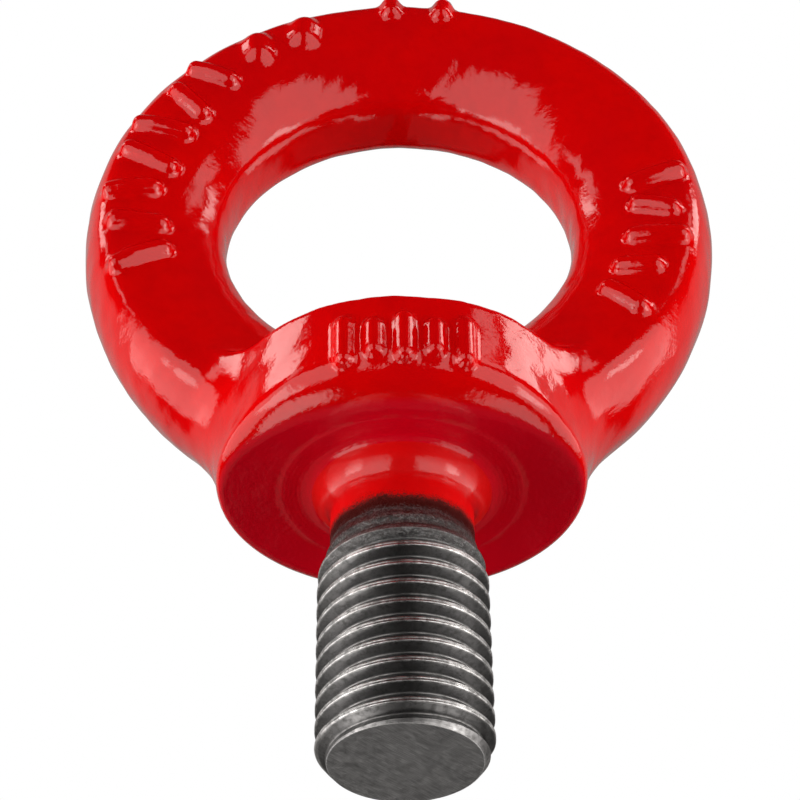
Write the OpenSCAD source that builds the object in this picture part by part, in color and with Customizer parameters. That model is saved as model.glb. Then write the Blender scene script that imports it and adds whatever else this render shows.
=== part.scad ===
// Shouldered lifting eye bolt, drop-forged in one piece, M16 size.
// The origin is the centre of the machined seat under the collar, on the thread axis.
// +Z runs up through the eye, -Z down the shank. The eye's axis lies along Y and the raised marks face -Y.
// All lengths are millimetres.

/* [Lifting eye] */
// Diameter over the outside of the ring
ring_d = 65; // [63:0.5:67]
// Diameter of the eye, across the flat land round its inside
eye_d = 36; // [34:0.5:37]
// Thickness of the ring along the eye's axis, at its widest
ring_t = 15; // [14:0.5:16]
// Width of the flat land where the flash was trimmed off
land_w = 4.6; // [3.6:0.2:5.6]
// Depth of the blunt outer half of the ring's egg-shaped section
ring_nose = 4.4; // [4:0.1:5]
// Height of the eye's centre above the seat
eye_h = 32; // [31.8:0.1:32.4]

/* [Collar] */
// Diameter of the collar
collar_d = 35.2; // [34.6:0.2:36]
// Height of the collar's side wall
collar_h = 9.7; // [9.2:0.1:10]
// Break of the collar's upper edge
rim_break = 0.6; // [0.4:0.1:1]
// How far the lower edge is rounded back from the front and rear of the collar
lip_in = 5.2; // [4.4:0.2:6]
// How far up the wall that rounding reaches
lip_up = 3.6; // [3:0.2:4.2]

/* [Blends] */
// Height of the saddles that carry the collar's top up to the ring
saddle_h = 3.6; // [3:0.1:3.8]
// Lowest point of the roots under the ring, above the seat
root_z = 1.8; // [1.4:0.2:2.4]
// Width of the roots along the eye's axis
root_w = 14; // [12:0.5:14.5]

/* [Shank] */
// Thread's outside diameter at the crests
thread_d = 15.9; // [15.8:0.02:15.96]
// Thread pitch
pitch = 2; // [1.9:0.05:2]
// Length of the shank from the seat to its tip
shank_l = 29.2; // [28.8:0.1:29.6]
// Diameter of the relief between collar and thread
neck_d = 13.5; // [13.2:0.1:13.6]
// Length of the relief, from the seat to the first thread run-in
neck_l = 8.3; // [8:0.1:8.4]
// Width of the fillet where the neck meets the seat
fillet_w = 2.6; // [2:0.2:3]
// Length of the fillet down the neck
fillet_l = 3.6; // [3:0.2:4]
// How far the neck's core reaches up inside the collar
core_h = 2; // [1:0.5:4]
// Number of full thread crests
crests = 9; // [9:1:9]
// Diameter of the flat end face
tip_d = 13.5; // [13.2:0.1:13.8]
// Length of the tip's chamfer
tip_c = 1.6; // [1.4:0.1:1.8]

/* [Raised marks] */
// Half width of a raised bar
mark_r = 1.1; // [0.9:0.1:1.2]
// How far a bar's ends stand out from the surface
mark_h = 0.8; // [0.6:0.1:1]
// Angle between neighbouring bars round the left of the ring
left_step = 12; // [11:0.5:13]
// Angle between neighbouring bars round the right of the ring
right_step = 11; // [10:0.5:12]
// Angle between neighbouring bars round the collar's front
collar_step = 11; // [10:0.5:12]

/* [Hidden] */
$fn = 96;
paint = "#c60a0c";
steel = "#4a4b4d";
ring_r = ring_d / 2;
eye_r = eye_d / 2;
half_t = ring_t / 2;
// radius at which the section is widest
wide_r = ring_r - ring_nose;
// depth of the long inner half, as if it ran on to a point inside the land
inner_a = (wide_r - eye_r) / sqrt(1 - pow(land_w / ring_t, 2));
land_a = 180 - asin(land_w / ring_t);
collar_r = collar_d / 2;
// where the outside of the ring crosses the plane of the collar's top
root_x = sqrt(ring_r * ring_r - (eye_h - collar_h) * (eye_h - collar_h));
thread_r = thread_d / 2;
neck_r = neck_d / 2;
first_crest = -(neck_l + 2.7);
crest_w = pitch / 8;
flank_w = pitch * 5 / 16;
thread_depth = flank_w * tan(60);
root_r = thread_r - thread_depth;

// The ring's section: x is the distance from the eye's axis, y the distance along it
outer_half = [for (i = [0:8]) let (a = -90 + i * 22.5) [wide_r + ring_nose * cos(a), half_t * sin(a)]];
inner_side = [for (i = [1:5]) let (a = 90 + i * (land_a - 90) / 5) [wide_r + inner_a * cos(a), half_t * sin(a)]];
ring_section = concat(outer_half, inner_side, [for (i = [4:-1:0]) [inner_side[i][0], -inner_side[i][1]]]);

// How far the ring's face stands from its middle plane at a distance r from the eye's axis
function face_y(r) = r > wide_r
    ? half_t * sqrt(max(0, 1 - pow((r - wide_r) / ring_nose, 2)))
    : half_t * sqrt(max(0, 1 - pow((r - wide_r) / inner_a, 2)));
function bezier2(p, q, r, t) = (1 - t) * (1 - t) * p + 2 * t * (1 - t) * q + t * t * r;

module ring_solid() translate([0, 0, eye_h]) rotate([90, 0, 0]) rotate_extrude(convexity = 4) polygon(ring_section);

// A raised bar on the ring's front face, at angle a round the eye, from radius r1 to r2
module ring_bar(a, r1, r2, w, h) {
    p = [r1, -face_y(r1)];
    q = [r2, -face_y(r2)];
    d = q - p;
    translate([0, 0, eye_h]) rotate([0, -a, 0]) translate([(p[0] + q[0]) / 2, (p[1] + q[1]) / 2, 0])
        rotate([0, 0, atan2(d[1], d[0])]) cube([norm(d), 2 * h, w], center = true);
}

// The ring ends on the collar's top and on the roots beside it
module lifting_ring() color(paint) intersection() {
    ring_solid();
    translate([-ring_d, -ring_d, collar_h]) cube([2 * ring_d, 2 * ring_d, eye_h + ring_d]);
}

// The forged collar. Its front and rear lower edges are rounded back, and its flat underside is the turned seat.
module collar() color(paint) intersection() {
    rotate_extrude(convexity = 2)
        polygon([[neck_r + fillet_w, 0], [collar_r, 0], [collar_r, collar_h - rim_break], [collar_r - rim_break, collar_h], [0, collar_h], [0, core_h], [neck_r + fillet_w, core_h]]);
    rotate([90, 0, 90]) linear_extrude(height = 2 * collar_r + 2, center = true)
        polygon(concat(
            [for (i = [0:6]) let (a = i * 15) [-collar_r - 0.01 + lip_in * (1 - cos(a)), lip_up * (1 - sin(a))]],
            [for (i = [6:-1:0]) let (a = i * 15) [collar_r + 0.01 - lip_in * (1 - cos(a)), lip_up * (1 - sin(a))]],
            [[collar_r + 0.01, collar_h + 1], [-collar_r - 0.01, collar_h + 1]]));
}

module saddle(side) color(paint) difference() {
    intersection() {
        translate([0, 0, collar_h]) rotate_extrude(convexity = 2)
            polygon(concat([[0, 0]], [for (i = [0:6]) let (a = i * 15) [collar_r - 1.4 - (collar_r - 9) * sin(a), saddle_h * (1 - cos(a))]], [[0, saddle_h]]));
        translate([-collar_r, side < 0 ? -collar_r : 0, collar_h - 1]) cube([2 * collar_r, collar_r, saddle_h + 2]);
    }
    ring_solid();
}
module front_saddle() saddle(-1);
module rear_saddle() saddle(1);

// The root carries the ring down the collar's side: a concave corner under the ring, with rounded flanks
module root(side) color(paint) difference() {
    intersection() {
        mirror([side < 0 ? 1 : 0, 0, 0]) rotate([90, 0, 0]) linear_extrude(height = 2 * ring_t, center = true)
            polygon(concat(
                [[collar_r - 4, root_z]],
                [for (i = [0:8]) bezier2([collar_r + 0.1, root_z], [collar_r + 0.6, root_z + 3.2], [root_x, collar_h], i / 8)],
                [[collar_r - 4, collar_h]]));
        mirror([side < 0 ? 1 : 0, 0, 0]) linear_extrude(height = collar_h + 1)
            polygon(concat([[0, -root_w / 2]], [for (i = [0:12]) let (a = -90 + i * 15) [root_x - 3.2 + 3.2 * cos(a), root_w / 2 * sin(a)]], [[0, root_w / 2]]));
    }
    translate([0, 0, -1]) cylinder(r = collar_r, h = collar_h + 3);
}
module left_root() root(-1);
module right_root() root(1);

// The neck's core reaches up into the collar, so that the seat is a ring round it
module neck() color(paint) rotate_extrude(convexity = 2)
    polygon(concat(
        [[0, core_h], [neck_r + fillet_w, core_h]],
        [for (i = [0:6]) let (a = i * 15) [neck_r + fillet_w * (1 - sin(a)), -fillet_l * (1 - cos(a))]],
        [[neck_r, -neck_l], [0, -neck_l]]));

// The thread is drawn as level ridges of the metric form, one pitch apart, below a short run-in
module threaded_shank() color(steel) intersection() {
    rotate_extrude(convexity = 4)
        polygon(concat(
            [[0, -neck_l], [neck_r, -neck_l], [neck_r + 0.45, -neck_l - 0.5], [neck_r + 0.45, -neck_l - 0.8], [neck_r + 0.15, -neck_l - 1.3],
             [root_r, first_crest + crest_w / 2 + flank_w]],
            [for (k = [0:crests], s = [0:3]) let (z = first_crest - k * pitch)
                [[thread_r, z + crest_w / 2], [thread_r, z - crest_w / 2], [root_r, z - crest_w / 2 - flank_w], [root_r, z - pitch + crest_w / 2 + flank_w]][s]],
            [[0, first_crest - (crests + 1) * pitch + crest_w / 2 + flank_w]]));
    rotate_extrude(convexity = 2)
        polygon([[0, -neck_l], [thread_r + 1, -neck_l], [thread_r + 1, -shank_l + tip_c * (thread_r + 1 - tip_d / 2) / (thread_r - tip_d / 2)], [tip_d / 2, -shank_l], [0, -shank_l]]);
}

module left_ring_marks() color(paint) difference() {
    for (i = [0:5]) ring_bar(138 + i * left_step, i % 2 == 0 ? 24.4 : 25.6, 30, 2 * mark_r, mark_h);
    ring_solid();
}

module top_ring_marks() color(paint) difference() {
    for (i = [0:3]) ring_bar(124 - i * 14.5, i < 2 ? 25.4 : 28.6, i < 2 ? 30.2 : 31.6, 2 * mark_r, mark_h);
    ring_solid();
}

module right_ring_marks() color(paint) difference() {
    for (i = [0:3]) ring_bar(3 - i * right_step, 24, i % 2 == 0 ? 29.8 : 28.4, 2 * mark_r, mark_h);
    ring_solid();
}

module collar_marks() color(paint) difference() {
    for (i = [0:3]) rotate([0, 0, -90 + (i - 1.35) * collar_step])
        translate([collar_r - 1, -mark_r + 0.1, 3.8]) cube([1 + mark_h * 0.9, 2 * mark_r - 0.2, i % 2 == 0 ? 4.4 : 3.2]);
    translate([0, 0, -1]) cylinder(r = collar_r, h = collar_h + 2);
}

lifting_ring();
collar();
front_saddle();
rear_saddle();
left_root();
right_root();
neck();
threaded_shank();
left_ring_marks();
top_ring_marks();
right_ring_marks();
collar_marks();
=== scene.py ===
"""Looks of the forged lifting eye bolt. Lengths in the shape code are millimetres; meshes are made in metres.

The painted forging is one implicit shape, meshed by naive surface nets, its points moved onto the exact surface,
then cut in closed pieces at the CAD's own boundaries. The thread is a helical height field.
"""
import math

import bmesh
import bpy
import numpy as np
from mathutils import Matrix, Vector


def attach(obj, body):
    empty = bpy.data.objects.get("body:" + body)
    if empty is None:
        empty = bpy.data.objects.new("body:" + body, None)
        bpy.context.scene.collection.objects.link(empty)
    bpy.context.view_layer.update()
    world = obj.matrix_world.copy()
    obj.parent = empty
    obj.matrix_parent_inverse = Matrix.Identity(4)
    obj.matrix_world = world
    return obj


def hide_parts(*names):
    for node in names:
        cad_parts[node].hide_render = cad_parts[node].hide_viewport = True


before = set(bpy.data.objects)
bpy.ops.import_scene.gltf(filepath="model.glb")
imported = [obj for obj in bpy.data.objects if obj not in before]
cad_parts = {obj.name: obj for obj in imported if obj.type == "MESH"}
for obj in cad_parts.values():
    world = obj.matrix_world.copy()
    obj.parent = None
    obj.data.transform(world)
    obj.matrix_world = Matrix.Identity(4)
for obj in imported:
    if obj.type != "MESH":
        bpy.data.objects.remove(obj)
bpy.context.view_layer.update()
MM = 0.001

# ---- shape of the forging, in millimetres -------------------------------------------------
RING_C, RING_W, NOSE, INNER_A, HALF_T, EYE_R = 32.0, 28.1, 4.4, 10.61, 7.5, 18.0
COL_R, COL_H, NECK_R, FILLET = 17.6, 9.7, 6.75, 3.1
SEAT_R = 11.8          # the turned seat's outer edge
NECK_END = -6.4        # where the neck's plain part hands over to the thread
CUT_Z = 10.8           # the ring piece starts just above the collar's top
TIP_Z, TIP_R, THREAD_R, PITCH = -28.9, 6.86, 7.90, 2.0


def smin(a, b, k):
    h = np.clip(0.5 + 0.5 * (b - a) / k, 0.0, 1.0)
    return b + (a - b) * h - k * h * (1.0 - h)


def smax(a, b, k):
    return -smin(-a, -b, k)


def sstep(a, b, x):
    t = np.clip((x - a) / (b - a), 0.0, 1.0)
    return t * t * (3.0 - 2.0 * t)


def ring_field(x, y, z):
    """The egg-shaped ring section turned round the eye's axis, with its flat trimmed land."""
    rho = np.hypot(x, z - RING_C)
    t = rho - RING_W
    a = INNER_A + (NOSE - INNER_A) * sstep(-3.5, 4.0, t)
    u, v = t / a, y / HALF_T
    k0 = np.sqrt(u * u + v * v) + 1e-9
    k1 = np.sqrt((u / a) ** 2 + (v / HALF_T) ** 2) + 1e-9
    d = k0 * (k0 - 1.0) / k1
    return smax(d, EYE_R - rho, 0.8)


def collar_field(x, y, z):
    """Round collar whose front and rear lower edges are rounded back, as a forging die leaves them."""
    r = np.hypot(x, y) + 1e-9
    c2, s2 = (x / r) ** 2, (y / r) ** 2
    back = np.where(y < 0.0, 12.3, 15.2)
    re = 1.0 / np.sqrt(c2 / 16.9**2 + s2 / back**2)
    li = COL_R - re
    lu = 0.7 + 0.62 * (li - 0.7)
    cx = COL_R - li
    p, q = (r - cx) / li, (z - lu) / lu
    k0 = np.sqrt(p * p + q * q) + 1e-9
    k1 = np.sqrt((p / li) ** 2 + (q / lu) ** 2) + 1e-9
    corner = k0 * (k0 - 1.0) / k1
    d = np.where((r > cx) & (z < lu), corner, np.maximum(r - COL_R, -z))
    # the turned seat stands a little proud of the forged skin round it, with a fine groove at its edge
    d = d + sstep(1.2, 0.3, z) * (0.06 * sstep(SEAT_R - 0.1, SEAT_R + 0.5, r) + 0.05 * np.exp(-(((r - SEAT_R) / 0.28) ** 2)))
    return smax(d, z - COL_H - 0.08, 0.7)


def wave(x, y, z):
    """Slow unevenness of a forged and blasted skin."""
    return (
        0.050 * np.sin(0.43 * x + 0.31 * z + 1.3) * np.sin(0.37 * y - 0.29 * z + 0.4)
        + 0.030 * np.sin(0.93 * x - 0.61 * z + 2.1) * np.sin(0.83 * z + 0.57 * y + 0.9)
        + 0.014 * np.sin(1.9 * x + 1.3 * y) * np.sin(1.7 * z - 1.1 * x + 0.5)
    )


def face_y(r):
    t = r - RING_W
    a = INNER_A + (NOSE - INNER_A) * sstep(-3.5, 4.0, t)
    return HALF_T * np.sqrt(np.maximum(0.0, 1.0 - (t / a) ** 2))


def ring_pt(r, deg, lift=0.0):
    a = math.radians(deg)
    return (r * math.cos(a), -float(face_y(np.float64(r))) - lift, RING_C + r * math.sin(a))


def collar_pt(deg, z, lift=0.0):
    a = math.radians(deg)
    return ((COL_R + lift) * math.cos(a), (COL_R + lift) * math.sin(a), z)


def mark_strokes():
    """Raised plain bars and round bosses: (points, half width). No letters, no figures."""
    out = []
    # left side of the ring: seven bars across it, long and short, fanned round the eye
    for i, (a, r0, r1) in enumerate(((136, 25.6, 29.2), (146, 24.6, 28.4), (156, 24.6, 29.2), (166, 24.2, 28.8), (176, 25.2, 29.4), (186, 24.2, 28.6), (196, 24.4, 29.2))):
        tilt = (3.0, -2.0, 2.0, -2.5, 1.5, -1.5, 2.0)[i]
        out.append(([ring_pt(r0 + (r1 - r0) * t, a + tilt * (t - 0.5), 0.12) for t in (0.0, 0.33, 0.67, 1.0)], 0.92))
    # two round bosses at the upper left
    for a in (123.5, 112.0):
        out.append(([ring_pt(27.0, a, -0.55), ring_pt(27.9, a - 1.0, -0.55)], 1.75))
    # two bars near the top edge
    for a in (91.0, 80.0):
        out.append(([ring_pt(r, a, 0.15) for r in (28.6, 29.8, 30.8)], 1.05))
    # right side of the ring: five bars
    for i, (a, r0, r1) in enumerate(((6, 24.2, 28.8), (-3, 24.4, 27.6), (-12, 24.2, 28.8), (-22, 24.0, 27.0), (-32, 24.0, 27.8))):
        tilt = (2.0, -2.0, 1.5, 2.0, -2.0)[i]
        out.append(([ring_pt(r0 + (r1 - r0) * t, a + tilt * (t - 0.5), 0.12) for t in (0.0, 0.33, 0.67, 1.0)], 0.90))
    # front of the collar: five upright bars of two lengths
    for i in range(5):
        a = -90.0 + (i - 1.85) * 9.0
        low, top = (2.7, 6.4) if i % 2 == 0 else (3.3, 5.8)
        out.append(([collar_pt(a, z, 0.10) for z in (low, (low + top) / 2, top)], 0.84))
    return out


def seg_dist(x, y, z, p, q):
    p, q = np.array(p), np.array(q)
    d = q - p
    l2 = float(d @ d) + 1e-12
    t = np.clip(((x - p[0]) * d[0] + (y - p[1]) * d[1] + (z - p[2]) * d[2]) / l2, 0.0, 1.0)
    return np.sqrt((x - p[0] - t * d[0]) ** 2 + (y - p[1] - t * d[1]) ** 2 + (z - p[2] - t * d[2]) ** 2)


STROKES = [(pts, w, np.array(pts).min(0) - 3.0, np.array(pts).max(0) + 3.0) for pts, w in mark_strokes()]


def forging(x, y, z):
    """The whole painted body, neck included. Negative inside."""
    ring = np.maximum(ring_field(x, y, z), 4.2 - z)
    col = collar_field(x, y, z)
    d = smin(ring, col, 4.2)
    d = d + wave(x, y, z) * sstep(0.3, 2.5, z)
    # the neck meets the seat in a true round fillet
    neck = np.maximum(np.hypot(x, y) - NECK_R, z - 4.0)
    joined = np.maximum(FILLET, np.minimum(neck, d)) - np.hypot(np.maximum(FILLET - neck, 0.0), np.maximum(FILLET - d, 0.0))
    d = np.where(z < 3.5, joined, d)
    d = np.maximum(d, -8.9 - z)
    for pts, w, lo, hi in STROKES:
        near = (x > lo[0]) & (x < hi[0]) & (y > lo[1]) & (y < hi[1]) & (z > lo[2]) & (z < hi[2])
        if not near.any():
            continue
        xs, ys, zs = x[near], y[near], z[near]
        m = np.full(xs.shape, 1e9)
        for p, q in zip(pts[:-1], pts[1:]):
            m = np.minimum(m, seg_dist(xs, ys, zs, p, q))
        d[near] = smin(d[near], m - w, 0.9)
    return d


def gradient(f, p, e=0.02):
    g = np.zeros_like(p)
    for k in range(3):
        a, b = p.copy(), p.copy()
        a[:, k] += e
        b[:, k] -= e
        g[:, k] = (f(a[:, 0], a[:, 1], a[:, 2]) - f(b[:, 0], b[:, 1], b[:, 2])) / (2 * e)
    return g


def onto_surface(f, p, rounds=3):
    for _ in range(rounds):
        g = gradient(f, p)
        d = f(p[:, 0], p[:, 1], p[:, 2])
        p = p - g * (np.clip(d, -0.3, 0.3) / np.maximum((g * g).sum(1), 0.05))[:, None]
    return p


def surface_nets(f, lo, hi, h, block=4, margin=2.6):
    """A quad mesh of the surface f = 0. Only blocks of cells near the surface are evaluated."""
    lo = np.array(lo, float)
    nb = np.ceil((np.array(hi, float) - lo) / (h * block)).astype(int)
    n = nb * block
    bi = np.stack(np.meshgrid(*[np.arange(k) for k in nb], indexing="ij"), -1).reshape(-1, 3)
    c = lo + (bi + 0.5) * block * h
    coarse = f(c[:, 0], c[:, 1], c[:, 2]).reshape(nb)
    reach = block * h * 0.9 + margin
    big = np.repeat(np.repeat(np.repeat(coarse, block, 0), block, 1), block, 2)
    field = np.full(n + 1, 1e3, np.float64)
    field[:-1, :-1, :-1] = np.where(big < 0, -1e3, 1e3)
    active = np.zeros(n + 1, bool)
    active[:-1, :-1, :-1] = np.abs(big) < reach
    idx = np.argwhere(active)
    for s in range(0, len(idx), 400000):
        part = idx[s : s + 400000]
        q = lo + part * h
        field[part[:, 0], part[:, 1], part[:, 2]] = f(q[:, 0], q[:, 1], q[:, 2])
    inside = field < 0
    corners = [(i, j, k) for i in (0, 1) for j in (0, 1) for k in (0, 1)]
    count = sum(inside[i : n[0] + i, j : n[1] + j, k : n[2] + k].astype(np.int8) for i, j, k in corners)
    cells = np.argwhere((count > 0) & (count < 8))
    number = np.full(n, -1, np.int64)
    number[cells[:, 0], cells[:, 1], cells[:, 2]] = np.arange(len(cells))
    vals = np.stack([field[cells[:, 0] + i, cells[:, 1] + j, cells[:, 2] + k] for i, j, k in corners], 1)
    offs = np.array(corners, float)
    total, hits = np.zeros((len(cells), 3)), np.zeros(len(cells))
    for a in range(8):
        for b in range(a + 1, 8):
            if np.abs(offs[a] - offs[b]).sum() != 1:
                continue
            cross = (vals[:, a] < 0) != (vals[:, b] < 0)
            t = np.where(cross, vals[:, a] / np.where(cross, vals[:, a] - vals[:, b], 1.0), 0.0)
            total += np.where(cross[:, None], offs[a] + t[:, None] * (offs[b] - offs[a]), 0.0)
            hits += cross
    verts = lo + (cells + total / hits[:, None]) * h
    quads = []
    for axis in range(3):
        u, v = [(1, 2), (2, 0), (0, 1)][axis]
        a = inside
        b = np.roll(inside, -1, axis)
        edge = a != b
        edge[tuple(slice(-1, None) if k == axis else slice(None) for k in range(3))] = False
        e = np.argwhere(edge)
        e = e[(e[:, u] > 0) & (e[:, v] > 0) & (e[:, u] < n[u]) & (e[:, v] < n[v]) & (e[:, axis] < n[axis])]
        out = a[e[:, 0], e[:, 1], e[:, 2]]
        ring = []
        for du, dv in ((-1, -1), (0, -1), (0, 0), (-1, 0)):
            c = e.copy()
            c[:, u] += du
            c[:, v] += dv
            ring.append(number[c[:, 0], c[:, 1], c[:, 2]])
        q = np.stack(ring, 1)
        q[~out] = q[~out][:, ::-1]
        quads.append(q)
    return verts, np.concatenate(quads)


# ---- the thread ---------------------------------------------------------------------------
def smin1(a, b, k):
    h = np.clip(0.5 + 0.5 * (b - a) / k, 0.0, 1.0)
    return b + (a - b) * h - k * h * (1.0 - h)


def thread_r(phi, z):
    """Radius of the rolled M16 x 2 thread, right-handed, at angle phi and height z, its run-out and tip included."""
    crest = -11.18 + PITCH * (phi + math.pi / 2) / (2 * math.pi)
    s = np.abs((z - crest + PITCH / 2) % PITCH - PITCH / 2)
    flank = THREAD_R + 0.02 - (s - 0.19) * math.tan(math.radians(60))
    r = smin1(THREAD_R - 0.035 * np.exp(-((s / 0.085) ** 2)), flank, 0.10)
    r = -smin1(-r, -6.87, 0.16)
    # shallow first turns, as the rolling dies start to bite
    start = z - (PITCH * 0.12) * (phi + math.pi / 2) / math.pi
    swell = NECK_R + (THREAD_R - NECK_R) * sstep(-6.3, -10.9, start)
    r = swell - (THREAD_R - r) * (0.14 + 0.86 * sstep(-7.6, -11.0, start)) * sstep(-6.45, -7.4, z)
    # chamfered tip, its rim barely rounded
    tip = TIP_R + (z - TIP_Z) * 0.79
    r = smin1(r, tip, 0.10)
    rim = z - TIP_Z
    return np.where(rim < 0.16, np.minimum(r, TIP_R + 0.10 - 0.16 + np.sqrt(np.maximum(0.0, 0.16**2 - (0.16 - rim) ** 2))), r)


def make_mesh(name, verts, faces, normals_of=None, flat=None):
    """verts in millimetres; normals_of and flat are not used."""
    me = bpy.data.meshes.new(name)
    me.from_pydata((np.asarray(verts) * MM).tolist(), [], faces if isinstance(faces, list) else faces.tolist())
    me.validate()
    me.update()
    ob = bpy.data.objects.new(name, me)
    bpy.context.scene.collection.objects.link(ob)
    return ob


def set_normals(ob, point_normals, caps):
    """Smooth normals from the exact shape; faces that lie on a cut plane or the tip stay flat."""
    me = ob.data
    me.polygons.foreach_set("use_smooth", np.ones(len(me.polygons), bool))
    nl, npoly = len(me.loops), len(me.polygons)
    vi = np.zeros(nl, np.int32)
    me.loops.foreach_get("vertex_index", vi)
    start, total = np.zeros(npoly, np.int32), np.zeros(npoly, np.int32)
    me.polygons.foreach_get("loop_start", start)
    me.polygons.foreach_get("loop_total", total)
    co = np.zeros(len(me.vertices) * 3, np.float32)
    me.vertices.foreach_get("co", co)
    co = co.reshape(-1, 3) * 1000.0
    n = point_normals[vi]
    for zc, nz in caps:
        on = np.abs(co[:, 2] - zc) < 1e-4
        for p in np.where(np.abs(np.add.reduceat(co[vi, 2], start) / total - zc) < 1e-4)[0]:
            loops = slice(start[p], start[p] + total[p])
            if on[vi[loops]].all():
                n[loops] = (0.0, 0.0, nz)
    me.normals_split_custom_set(n.astype(np.float32).tolist())


def points(ob):
    co = np.zeros(len(ob.data.vertices) * 3, np.float32)
    ob.data.vertices.foreach_get("co", co)
    return co.reshape(-1, 3).astype(float) * 1000.0


def cut(name, source, top=None, bottom=None):
    """A closed copy of source between two level planes."""
    bm = bmesh.new()
    bm.from_mesh(source)
    for z, up in ((top, True), (bottom, False)):
        if z is None:
            continue
        bmesh.ops.bisect_plane(bm, geom=bm.verts[:] + bm.edges[:] + bm.faces[:], dist=2e-7, plane_co=(0, 0, z * MM),
                               plane_no=(0, 0, 1 if up else -1), clear_outer=True)
        rim = [e for e in bm.edges if e.is_boundary and all(abs(v.co.z - z * MM) < 1e-6 for v in e.verts)]
        for e in rim:
            for v in e.verts:
                v.co.z = z * MM
        bmesh.ops.holes_fill(bm, edges=rim, sides=0)
    bmesh.ops.recalc_face_normals(bm, faces=bm.faces[:])
    me = bpy.data.meshes.new(name)
    bm.to_mesh(me)
    bm.free()
    ob = bpy.data.objects.new(name, me)
    bpy.context.scene.collection.objects.link(ob)
    return ob


H = 0.34
v, q = surface_nets(forging, (-34.0, -19.4, -9.6), (34.0, 19.4, 66.6), H)
v = onto_surface(forging, v)
whole = bpy.data.meshes.new("whole")
whole.from_pydata((v * MM).tolist(), [], q.tolist())
whole.update()

ring = cut("eye_ring", whole, bottom=CUT_Z)
collar = cut("forged_collar", whole, top=CUT_Z, bottom=-0.3)
neck = cut("painted_neck", whole, top=-0.3, bottom=NECK_END)
bpy.data.meshes.remove(whole)
for ob, caps in ((ring, [(CUT_Z, -1)]), (collar, [(CUT_Z, 1), (-0.3, -1)]), (neck, [(-0.3, 1), (NECK_END, -1)])):
    p = points(ob)
    g = gradient(forging, p)
    set_normals(ob, g / np.maximum(np.linalg.norm(g, axis=1), 1e-9)[:, None], caps)

# thread: columns round the axis, rows from the neck down to the tip, and flat ends
NPHI, STEP = 176, 0.06
rows = np.linspace(NECK_END, TIP_Z, int(round((NECK_END - TIP_Z) / STEP)) + 1)
phi = np.arange(NPHI) * 2 * math.pi / NPHI
PH, ZZ = np.meshgrid(phi, rows)
RR = thread_r(PH, ZZ)
RR[0] = NECK_R
tv = np.stack([RR * np.cos(PH), RR * np.sin(PH), ZZ], -1).reshape(-1, 3)
i, j = np.meshgrid(np.arange(len(rows) - 1), np.arange(NPHI), indexing="ij")
i, j = i.ravel(), j.ravel()
j1 = (j + 1) % NPHI
tq = np.stack([i * NPHI + j, (i + 1) * NPHI + j, (i + 1) * NPHI + j1, i * NPHI + j1], 1).tolist()
e = 0.01
drz = (thread_r(PH, ZZ + e) - thread_r(PH, ZZ - e)) / (2 * e)
drp = (thread_r(PH + e, ZZ) - thread_r(PH - e, ZZ)) / (2 * e)
drz[0] = 0.0
drz[-1] = drz[-2]
er = np.stack([np.cos(PH), np.sin(PH), 0 * PH], -1)
ep = np.stack([-np.sin(PH), np.cos(PH), 0 * PH], -1)
tn = er - ep * (drp / RR)[..., None] - np.stack([0 * PH, 0 * PH, drz], -1)
tn /= np.linalg.norm(tn, axis=-1, keepdims=True)
tn = tn.reshape(-1, 3)
# end faces: rings of quads closing on a small middle polygon, so that the tip is a real turned face
def end_face(first, z, turn, dish):
    global tv, tn
    prev = first
    for share in (0.985, 0.9, 0.7, 0.45, 0.2):
        ringv = np.stack([RR[0 if turn > 0 else -1] * share * np.cos(phi), RR[0 if turn > 0 else -1] * share * np.sin(phi),
                          np.full(NPHI, z + dish * (1 - share))], -1)
        now = len(tv)
        tv = np.concatenate([tv, ringv])
        tn = np.concatenate([tn, np.tile([0.0, 0.0, float(turn)], (NPHI, 1))])
        for k in range(NPHI):
            k1 = (k + 1) % NPHI
            f = [prev + k, prev + k1, now + k1, now + k]
            tq.append(f if turn > 0 else f[::-1])
        prev = now
    f = [prev + k for k in range(NPHI)]
    tq.append(f if turn > 0 else f[::-1])


end_face(0, NECK_END, 1, 0.0)
end_face((len(rows) - 1) * NPHI, TIP_Z, -1, 0.0)
shank = make_mesh("threaded_end", tv, tq)
set_normals(shank, tn, [(NECK_END, 1), (TIP_Z, -1)])


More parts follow.
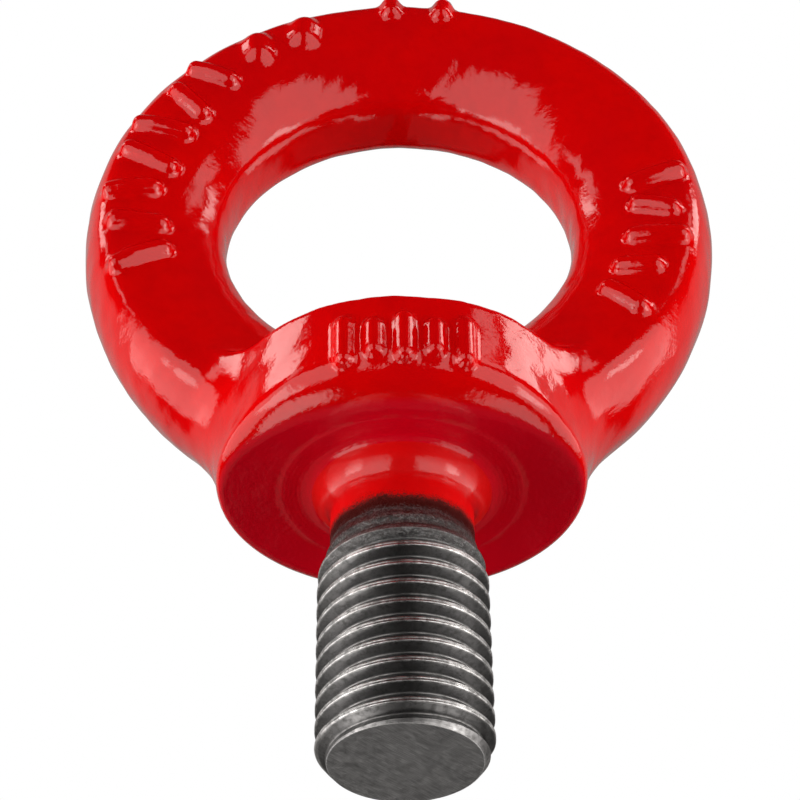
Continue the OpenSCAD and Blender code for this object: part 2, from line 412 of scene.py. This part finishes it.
# ---- materials ----------------------------------------------------------------------------
class Nodes:
    def __init__(self, tree):
        self.t = tree

    def add(self, kind, **props):
        n = self.t.nodes.new(kind)
        for k, val in props.items():
            setattr(n, k, val)
        return n

    def link(self, a, b):
        self.t.links.new(a, b)

    def math(self, op, a, b=None, c=None, clamp=False):
        n = self.add("ShaderNodeMath", operation=op, use_clamp=clamp)
        for k, s in enumerate((a, b, c)):
            if s is None:
                continue
            if isinstance(s, (int, float)):
                n.inputs[k].default_value = s
            else:
                self.link(s, n.inputs[k])
        return n.outputs[0]

    def ramp(self, x, a, b, lo=0.0, hi=1.0, smooth=True):
        n = self.add("ShaderNodeMapRange", interpolation_type="SMOOTHSTEP" if smooth else "LINEAR", clamp=True)
        self.link(x, n.inputs["Value"])
        for k, val in (("From Min", a), ("From Max", b), ("To Min", lo), ("To Max", hi)):
            n.inputs[k].default_value = val
        return n.outputs[0]

    def noise(self, vec, scale, detail=2.0, rough=0.5, distortion=0.0, kind="FBM"):
        n = self.add("ShaderNodeTexNoise", noise_dimensions="3D", noise_type=kind)
        self.link(vec, n.inputs["Vector"])
        n.inputs["Scale"].default_value = scale
        n.inputs["Detail"].default_value = detail
        n.inputs["Roughness"].default_value = rough
        n.inputs["Distortion"].default_value = distortion
        return n.outputs[0]

    def mix(self, f, a, b):
        n = self.add("ShaderNodeMix", data_type="RGBA")
        for s, val in ((n.inputs[0], f), (n.inputs[6], a), (n.inputs[7], b)):
            if isinstance(val, (int, float)):
                s.default_value = val
            elif isinstance(val, tuple):
                s.default_value = (*val, 1.0)
            else:
                self.link(val, s)
        return n.outputs[2]

    def scaled(self, vec, s):
        n = self.add("ShaderNodeVectorMath", operation="MULTIPLY")
        self.link(vec, n.inputs[0])
        n.inputs[1].default_value = s
        return n.outputs[0]


def new_material(name):
    m = bpy.data.materials.new(name)
    m.use_nodes = True
    m.node_tree.nodes.clear()
    k = Nodes(m.node_tree)
    out = k.add("ShaderNodeOutputMaterial")
    p = k.add("ShaderNodeBsdfPrincipled")
    k.link(p.outputs[0], out.inputs[0])
    co = k.add("ShaderNodeTexCoord").outputs["Object"]
    mm = k.scaled(co, (1000.0, 1000.0, 1000.0))
    return m, k, p, mm


def paint_parts(k, mm):
    """Colour, coat roughness pattern and height (mm) of thick gloss paint over a blasted forging."""
    slow = k.noise(mm, 0.11, 2.0, 0.5)
    mid = k.noise(mm, 0.55, 3.0, 0.55)
    fine = k.noise(mm, 2.4, 3.0, 0.6)
    tint = k.mix(k.ramp(slow, 0.3, 0.7), PAINT_A, PAINT_B)
    tint = k.mix(k.ramp(mid, 0.35, 0.75, 0.0, 0.35), tint, PAINT_C)
    peel = k.math("MULTIPLY", mid, 0.045)
    grain = k.math("MULTIPLY", fine, 0.016)
    broad = k.math("MULTIPLY", k.noise(mm, 0.2, 1.0, 0.5), 0.10)
    height = k.math("ADD", k.math("ADD", peel, grain), broad)
    return tint, height, mid, fine


def steel_parts(k, mm):
    """Colour, roughness and height (mm) of dark rolled steel."""
    along = k.scaled(mm, (0.35, 0.35, 9.0))
    lines = k.noise(along, 1.0, 3.0, 0.6)
    blot = k.noise(mm, 0.33, 3.0, 0.6)
    dust = k.ramp(k.noise(mm, 3.1, 1.0, 0.5), 0.70, 0.92)
    grime = k.noise(mm, 1.4, 4.0, 0.65)
    col = k.mix(k.ramp(blot, 0.3, 0.7), STEEL_A, STEEL_B)
    col = k.mix(k.ramp(grime, 0.42, 0.72, 0.0, 0.65), col, STEEL_C)
    # scale and spray dust left on the neck and the thread's first turns
    sep = k.add("ShaderNodeSeparateXYZ")
    k.link(mm, sep.inputs[0])
    crust = k.math("MULTIPLY", k.ramp(sep.outputs[2], -12.2, -7.8), k.ramp(k.noise(mm, 4.2, 4.0, 0.75), 0.36, 0.56))
    col = k.mix(k.math("MULTIPLY", crust, 0.8), col, (0.075, 0.072, 0.070))
    col = k.mix(k.math("MULTIPLY", dust, 0.5), col, (0.55, 0.54, 0.52))
    rough = k.math("ADD", k.ramp(grime, 0.3, 0.7, 0.24, 0.44), k.math("ADD", k.math("MULTIPLY", lines, 0.10), k.math("MULTIPLY", crust, 0.15)))
    height = k.math("ADD", k.math("MULTIPLY", lines, 0.006), k.math("ADD", k.math("MULTIPLY", grime, 0.012), k.math("MULTIPLY", crust, 0.03)))
    return col, rough, height, lines


PAINT_A, PAINT_B, PAINT_C = (0.84, 0.0006, 0.0008), (0.76, 0.0005, 0.0020), (0.66, 0.0004, 0.0012)
STEEL_A, STEEL_B, STEEL_C = (0.37, 0.37, 0.375), (0.26, 0.26, 0.265), (0.085, 0.083, 0.081)


def paint_material(name, seat=False):
    m, k, p, mm = new_material(name)
    tint, height, mid, fine = paint_parts(k, mm)
    if seat:
        # fine turning circles on the underside, and a faint scuff round the seat's edge
        sep = k.add("ShaderNodeSeparateXYZ")
        k.link(mm, sep.inputs[0])
        x, y, z = sep.outputs
        r = k.math("SQRT", k.math("ADD", k.math("MULTIPLY", x, x), k.math("MULTIPLY", y, y)))
        under = k.ramp(z, 0.35, 0.12)
        circ = k.math("SINE", k.math("MULTIPLY", r, 2 * math.pi / 0.42))
        inner = k.ramp(r, SEAT_R + 0.3, SEAT_R - 0.2)
        height = k.math("ADD", height, k.math("MULTIPLY", k.math("MULTIPLY", circ, 0.0016), k.math("MULTIPLY", under, inner)))
        edge = k.math("MULTIPLY", k.ramp(k.math("ABSOLUTE", k.math("SUBTRACT", r, SEAT_R)), 0.45, 0.05),
                      k.ramp(k.noise(k.scaled(mm, (0.25, 0.25, 0.25)), 1.0, 4.0, 0.7), 0.45, 0.62))
        edge = k.math("MULTIPLY", edge, under)
        # painted shade and painted reflection: the whole downward-facing underside is painted a darker, bluish
        # crimson
        tint = k.mix(k.math("MULTIPLY", under, 0.8), tint, (0.78, 0.0005, 0.016))
        tint = k.mix(k.math("MULTIPLY", edge, 0.16), tint, (0.50, 0.07, 0.05))
        k.link(k.math("ADD", k.ramp(mid, 0.3, 0.7, 0.30, 0.40), k.math("MULTIPLY", edge, 0.1)), p.inputs["Roughness"])
    else:
        k.link(k.ramp(mid, 0.3, 0.7, 0.30, 0.40), p.inputs["Roughness"])
    k.link(tint, p.inputs["Base Color"])
    bump = k.add("ShaderNodeBump")
    bump.inputs["Strength"].default_value = 1.0
    bump.inputs["Distance"].default_value = 0.001
    k.link(height, bump.inputs["Height"])
    k.link(bump.outputs[0], p.inputs["Normal"])
    k.link(bump.outputs[0], p.inputs["Coat Normal"])
    p.inputs["Specular IOR Level"].default_value = 0.0
    p.inputs["Coat Weight"].default_value = 1.0
    p.inputs["Coat Roughness"].default_value = 0.022
    p.inputs["Coat IOR"].default_value = 1.52
    return m


def neck_material(name):
    """Paint on the fillet that thins out down the neck into overspray and bare steel."""
    m, k, p, mm = new_material(name)
    tint, height, mid, fine = paint_parts(k, mm)
    scol, srough, sheight, lines = steel_parts(k, mm)
    sep = k.add("ShaderNodeSeparateXYZ")
    k.link(mm, sep.inputs[0])
    z = sep.outputs[2]
    ragged = k.math("ADD", k.math("MULTIPLY", k.noise(mm, 0.35, 2.0, 0.5), 1.2), k.math("MULTIPLY", k.noise(mm, 6.0, 4.0, 0.85), 3.0))
    line = k.math("ADD", z, ragged)                      # falls below the limit where the steel shows
    bare = k.ramp(line, -2.7, -3.9)
    col = k.mix(bare, tint, scol)
    col = k.mix(k.math("MULTIPLY", k.ramp(line, -2.2, -3.2), k.ramp(line, -4.9, -3.8)), col, (0.09, 0.012, 0.010))
    k.link(col, p.inputs["Base Color"])
    k.link(bare, p.inputs["Metallic"])
    gloss = k.math("MULTIPLY", k.ramp(z, -0.7, -1.7, 0.12, 1.0), k.ramp(z, -2.5, -3.3, 1.0, 0.15))
    k.link(k.math("MULTIPLY", gloss, k.math("SUBTRACT", 1.0, k.ramp(line, -1.6, -3.2))), p.inputs["Coat Weight"])
    k.link(k.math("ADD", k.math("MULTIPLY", bare, srough), k.math("MULTIPLY", k.math("SUBTRACT", 1.0, bare), 0.42)), p.inputs["Roughness"])
    bump = k.add("ShaderNodeBump")
    bump.inputs["Strength"].default_value = 1.0
    bump.inputs["Distance"].default_value = 0.001
    h = k.math("ADD", k.math("MULTIPLY", height, k.math("SUBTRACT", 1.0, bare)), k.math("MULTIPLY", sheight, bare))
    k.link(h, bump.inputs["Height"])
    k.link(bump.outputs[0], p.inputs["Normal"])
    k.link(bump.outputs[0], p.inputs["Coat Normal"])
    p.inputs["Specular IOR Level"].default_value = 0.1
    p.inputs["Coat Roughness"].default_value = 0.07
    p.inputs["Coat IOR"].default_value = 1.52
    return m


def thread_material(name):
    m, k, p, mm = new_material(name)
    col, rough, height, lines = steel_parts(k, mm)
    sep = k.add("ShaderNodeSeparateXYZ")
    k.link(mm, sep.inputs[0])
    x, y, z = sep.outputs
    # the sawn and faced tip: fine slanting lines
    face = k.ramp(z, TIP_Z + 0.06, TIP_Z + 0.02)
    u = k.math("ADD", k.math("MULTIPLY", x, 0.72), k.math("MULTIPLY", y, -0.69))
    w = k.math("ADD", k.math("MULTIPLY", x, 0.69), k.math("MULTIPLY", y, 0.72))
    comb = k.add("ShaderNodeCombineXYZ")
    k.link(k.math("MULTIPLY", u, 10.0), comb.inputs[0])
    k.link(k.math("MULTIPLY", w, 0.5), comb.inputs[1])
    brush = k.noise(comb.outputs[0], 1.0, 3.0, 0.6)
    col = k.mix(face, col, k.mix(k.ramp(brush, 0.38, 0.62), (0.33, 0.33, 0.335), (0.52, 0.52, 0.525)))
    # a rust-brown and red overspray tint near the neck
    spray = k.math("MULTIPLY", k.ramp(z, -10.5, -7.0), k.ramp(k.noise(mm, 1.9, 4.0, 0.7), 0.50, 0.66))
    col = k.mix(k.math("MULTIPLY", spray, 0.55), col, (0.16, 0.030, 0.022))
    # painted highlight: the crests are painted light, broken up by noise, standing in for the glint along each crest
    r = k.math("SQRT", k.math("ADD", k.math("MULTIPLY", x, x), k.math("MULTIPLY", y, y)))
    crest_highlight = k.math("MULTIPLY", k.ramp(r, 7.68, 7.88), k.ramp(k.noise(mm, 1.3, 4.0, 0.7), 0.36, 0.60, 0.15, 1.0))
    col = k.mix(k.math("MULTIPLY", crest_highlight, 0.85), col, (0.88, 0.88, 0.885))
    # painted shade: the thread's roots, inside radius 7.25, are painted darker, except on the tip's chamfer
    col = k.mix(k.math("MULTIPLY", k.ramp(r, 7.25, 6.9), k.ramp(z, TIP_Z + 0.3, TIP_Z + 0.9, 0.0, 0.45)), col, (0.10, 0.10, 0.10))
    k.link(col, p.inputs["Base Color"])
    k.link(k.math("SUBTRACT", k.math("ADD", rough, k.math("MULTIPLY", face, 0.08)), k.math("MULTIPLY", crest_highlight, 0.03)), p.inputs["Roughness"])
    k.link(k.ramp(face, 0.0, 1.0, 1.0, 0.55), p.inputs["Metallic"])
    h = k.math("ADD", height, k.math("MULTIPLY", k.math("MULTIPLY", brush, 0.018), face))
    bump = k.add("ShaderNodeBump")
    bump.inputs["Strength"].default_value = 1.0
    bump.inputs["Distance"].default_value = 0.001
    k.link(h, bump.inputs["Height"])
    k.link(bump.outputs[0], p.inputs["Normal"])
    return m


red = paint_material("gloss_red_paint")
red_seat = paint_material("gloss_red_paint_collar", seat=True)
fade = neck_material("paint_fading_to_steel")
steel = thread_material("dark_rolled_steel")
for ob, mat in ((ring, red), (collar, red_seat), (neck, fade), (shank, steel)):
    ob.data.materials.clear()
    ob.data.materials.append(mat)
    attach(ob, "root")

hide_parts("lifting_ring", "front_saddle", "rear_saddle", "left_ring_marks", "top_ring_marks", "right_ring_marks")
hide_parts("collar", "left_root", "right_root", "collar_marks")
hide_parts("neck")
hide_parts("threaded_shank")

# ---- floor, light, camera -----------------------------------------------------------------
floor_me = bpy.data.meshes.new("floor")
floor_me.from_pydata([(-5, -5, -0.3), (5, -5, -0.3), (5, 5, -0.3), (-5, 5, -0.3)], [], [(0, 1, 2, 3)])
floor = bpy.data.objects.new("floor", floor_me)
bpy.context.scene.collection.objects.link(floor)
fm, fkn, fp, fmm = new_material("pale_floor")
fcol = fkn.mix(fkn.ramp(fkn.noise(fmm, 0.01, 2.0, 0.5), 0.3, 0.7), (0.80, 0.80, 0.79), (0.84, 0.84, 0.83))
fkn.link(fcol, fp.inputs["Base Color"])
fp.inputs["Roughness"].default_value = 0.7
fp.inputs["Specular IOR Level"].default_value = 0.2
fp.inputs["Emission Color"].default_value = (1.0, 1.0, 0.99, 1.0)
fp.inputs["Emission Strength"].default_value = 0.55
floor_me.materials.append(fm)
floor.visible_glossy = False
floor.visible_diffuse = False

# soft studio boxes round the object, as bright areas of the surroundings: azimuth from -Y towards +X, elevation, edge, strength
BOXES = [
    (20, 118, -44, 8, 3, 1.7),
    (66, 82, -33, -8, 4, 4.0),
    (68, 99, 32, 45, 3, 4.4),
    (46, 61, 23, 42, 4, 1.5),
    (96, 146, -71, -53, 3, 1.5),
    (-118, -17, -46, 8, 3, 1.7),
    (-82, -60, -44, -10, 5, 2.9),
    (-92, -66, 34, 46, 3, 4.4),
    (-66, -56, 14, 36, 3, 1.8),
    (-142, -84, -74, -54, 3, 2.4),
    (-181, -100, 0, 72, 10, 0.38),
    (100, 181, 0, 72, 10, 0.31),
    (128, 173, -62, -12, 3, 0.05),
    (-173, -128, -62, -12, 3, 0.10),
]
world = bpy.data.worlds.new("studio")
bpy.context.scene.world = world
world.use_nodes = True
world.node_tree.nodes.clear()
k = Nodes(world.node_tree)
out = k.add("ShaderNodeOutputWorld")
sep = k.add("ShaderNodeSeparateXYZ")
k.link(k.add("ShaderNodeTexCoord").outputs["Generated"], sep.inputs[0])
x, y, z = sep.outputs
az = k.math("MULTIPLY", k.math("ARCTAN2", x, k.math("MULTIPLY", y, -1.0)), 180 / math.pi)
el = k.math("MULTIPLY", k.math("ARCSINE", z), 180 / math.pi)


def glow(windows, ambient, colour):
    total = None
    for a0, a1, e0, e1, soft, power in windows:
        h = soft / 2
        g = k.math("MULTIPLY", k.ramp(az, a0 - h, a0 + h), k.ramp(az, a1 + h, a1 - h))
        g = k.math("MULTIPLY", g, k.math("MULTIPLY", k.ramp(el, e0 - h, e0 + h), k.ramp(el, e1 + h, e1 - h)))
        g = k.math("MULTIPLY", g, power)
        total = g if total is None else k.math("ADD", total, g)
    n = k.add("ShaderNodeBackground")
    k.link(k.math("ADD", total, ambient), n.inputs["Strength"])
    n.inputs["Color"].default_value = (*colour, 1.0)
    return n


lit = glow(BOXES, 0.010, (1.0, 0.955, 0.91))
white = k.add("ShaderNodeBackground")
white.inputs["Color"].default_value = (1.0, 1.0, 1.0, 1.0)
white.inputs["Strength"].default_value = 1.0
mix = k.add("ShaderNodeMixShader")
k.link(k.add("ShaderNodeLightPath").outputs["Is Camera Ray"], mix.inputs[0])
k.link(lit.outputs[0], mix.inputs[1])
k.link(white.outputs[0], mix.inputs[2])
k.link(mix.outputs[0], out.inputs[0])


def area(name, azimuth, elevation, distance, size, light, glossy=False):
    li = bpy.data.lights.new(name, "AREA")
    li.shape = "DISK"
    li.size = size
    li.energy = light * math.pi * distance**2      # light is the irradiance it gives at the object
    a, e = math.radians(azimuth), math.radians(elevation)
    back = Vector((math.sin(a) * math.cos(e), -math.cos(a) * math.cos(e), math.sin(e)))
    ob = bpy.data.objects.new(name, li)
    ob.location = Vector((0, 0, 0.02)) + back * distance
    ob.rotation_mode = "QUATERNION"
    ob.rotation_quaternion = (-back).to_track_quat("-Z", "Y")
    bpy.context.scene.collection.objects.link(ob)
    ob.visible_camera = False
    ob.visible_glossy = glossy
    return ob


area("overhead_fill", 0, 75, 1.1, 0.9, 1.08)
area("left_fill", -104, 14, 0.9, 0.6, 2.0)
area("right_fill", 104, 14, 0.9, 0.6, 1.75)
area("front_fill", 0, 10, 0.9, 0.6, 0.30)
area("low_left_fill", -80, -50, 0.9, 0.6, 0.44)
area("low_right_fill", 80, -50, 0.9, 0.6, 0.42)

bpy.context.scene.view_settings.view_transform = "Standard"
bpy.context.scene.view_settings.look = "None"

cam = bpy.data.cameras.new("camera")
cam.sensor_width = 36.0
cam.lens = 94.316
cam.clip_start, cam.clip_end = 0.01, 20.0
cam_ob = bpy.data.objects.new("camera", cam)
right, up, ahead = Vector((0.999917, 0.008194, -0.009935)), Vector((0.012878, -0.632612, 0.774362)), Vector((-0.0000605, 0.774426, 0.632665))
cam_ob.matrix_world = Matrix((
    (right.x, up.x, -ahead.x, -0.0000568),
    (right.y, up.y, -ahead.y, -0.1594962),
    (right.z, up.z, -ahead.z, -0.1187607),
    (0, 0, 0, 1),
))
bpy.context.scene.collection.objects.link(cam_ob)
bpy.context.scene.camera = cam_ob
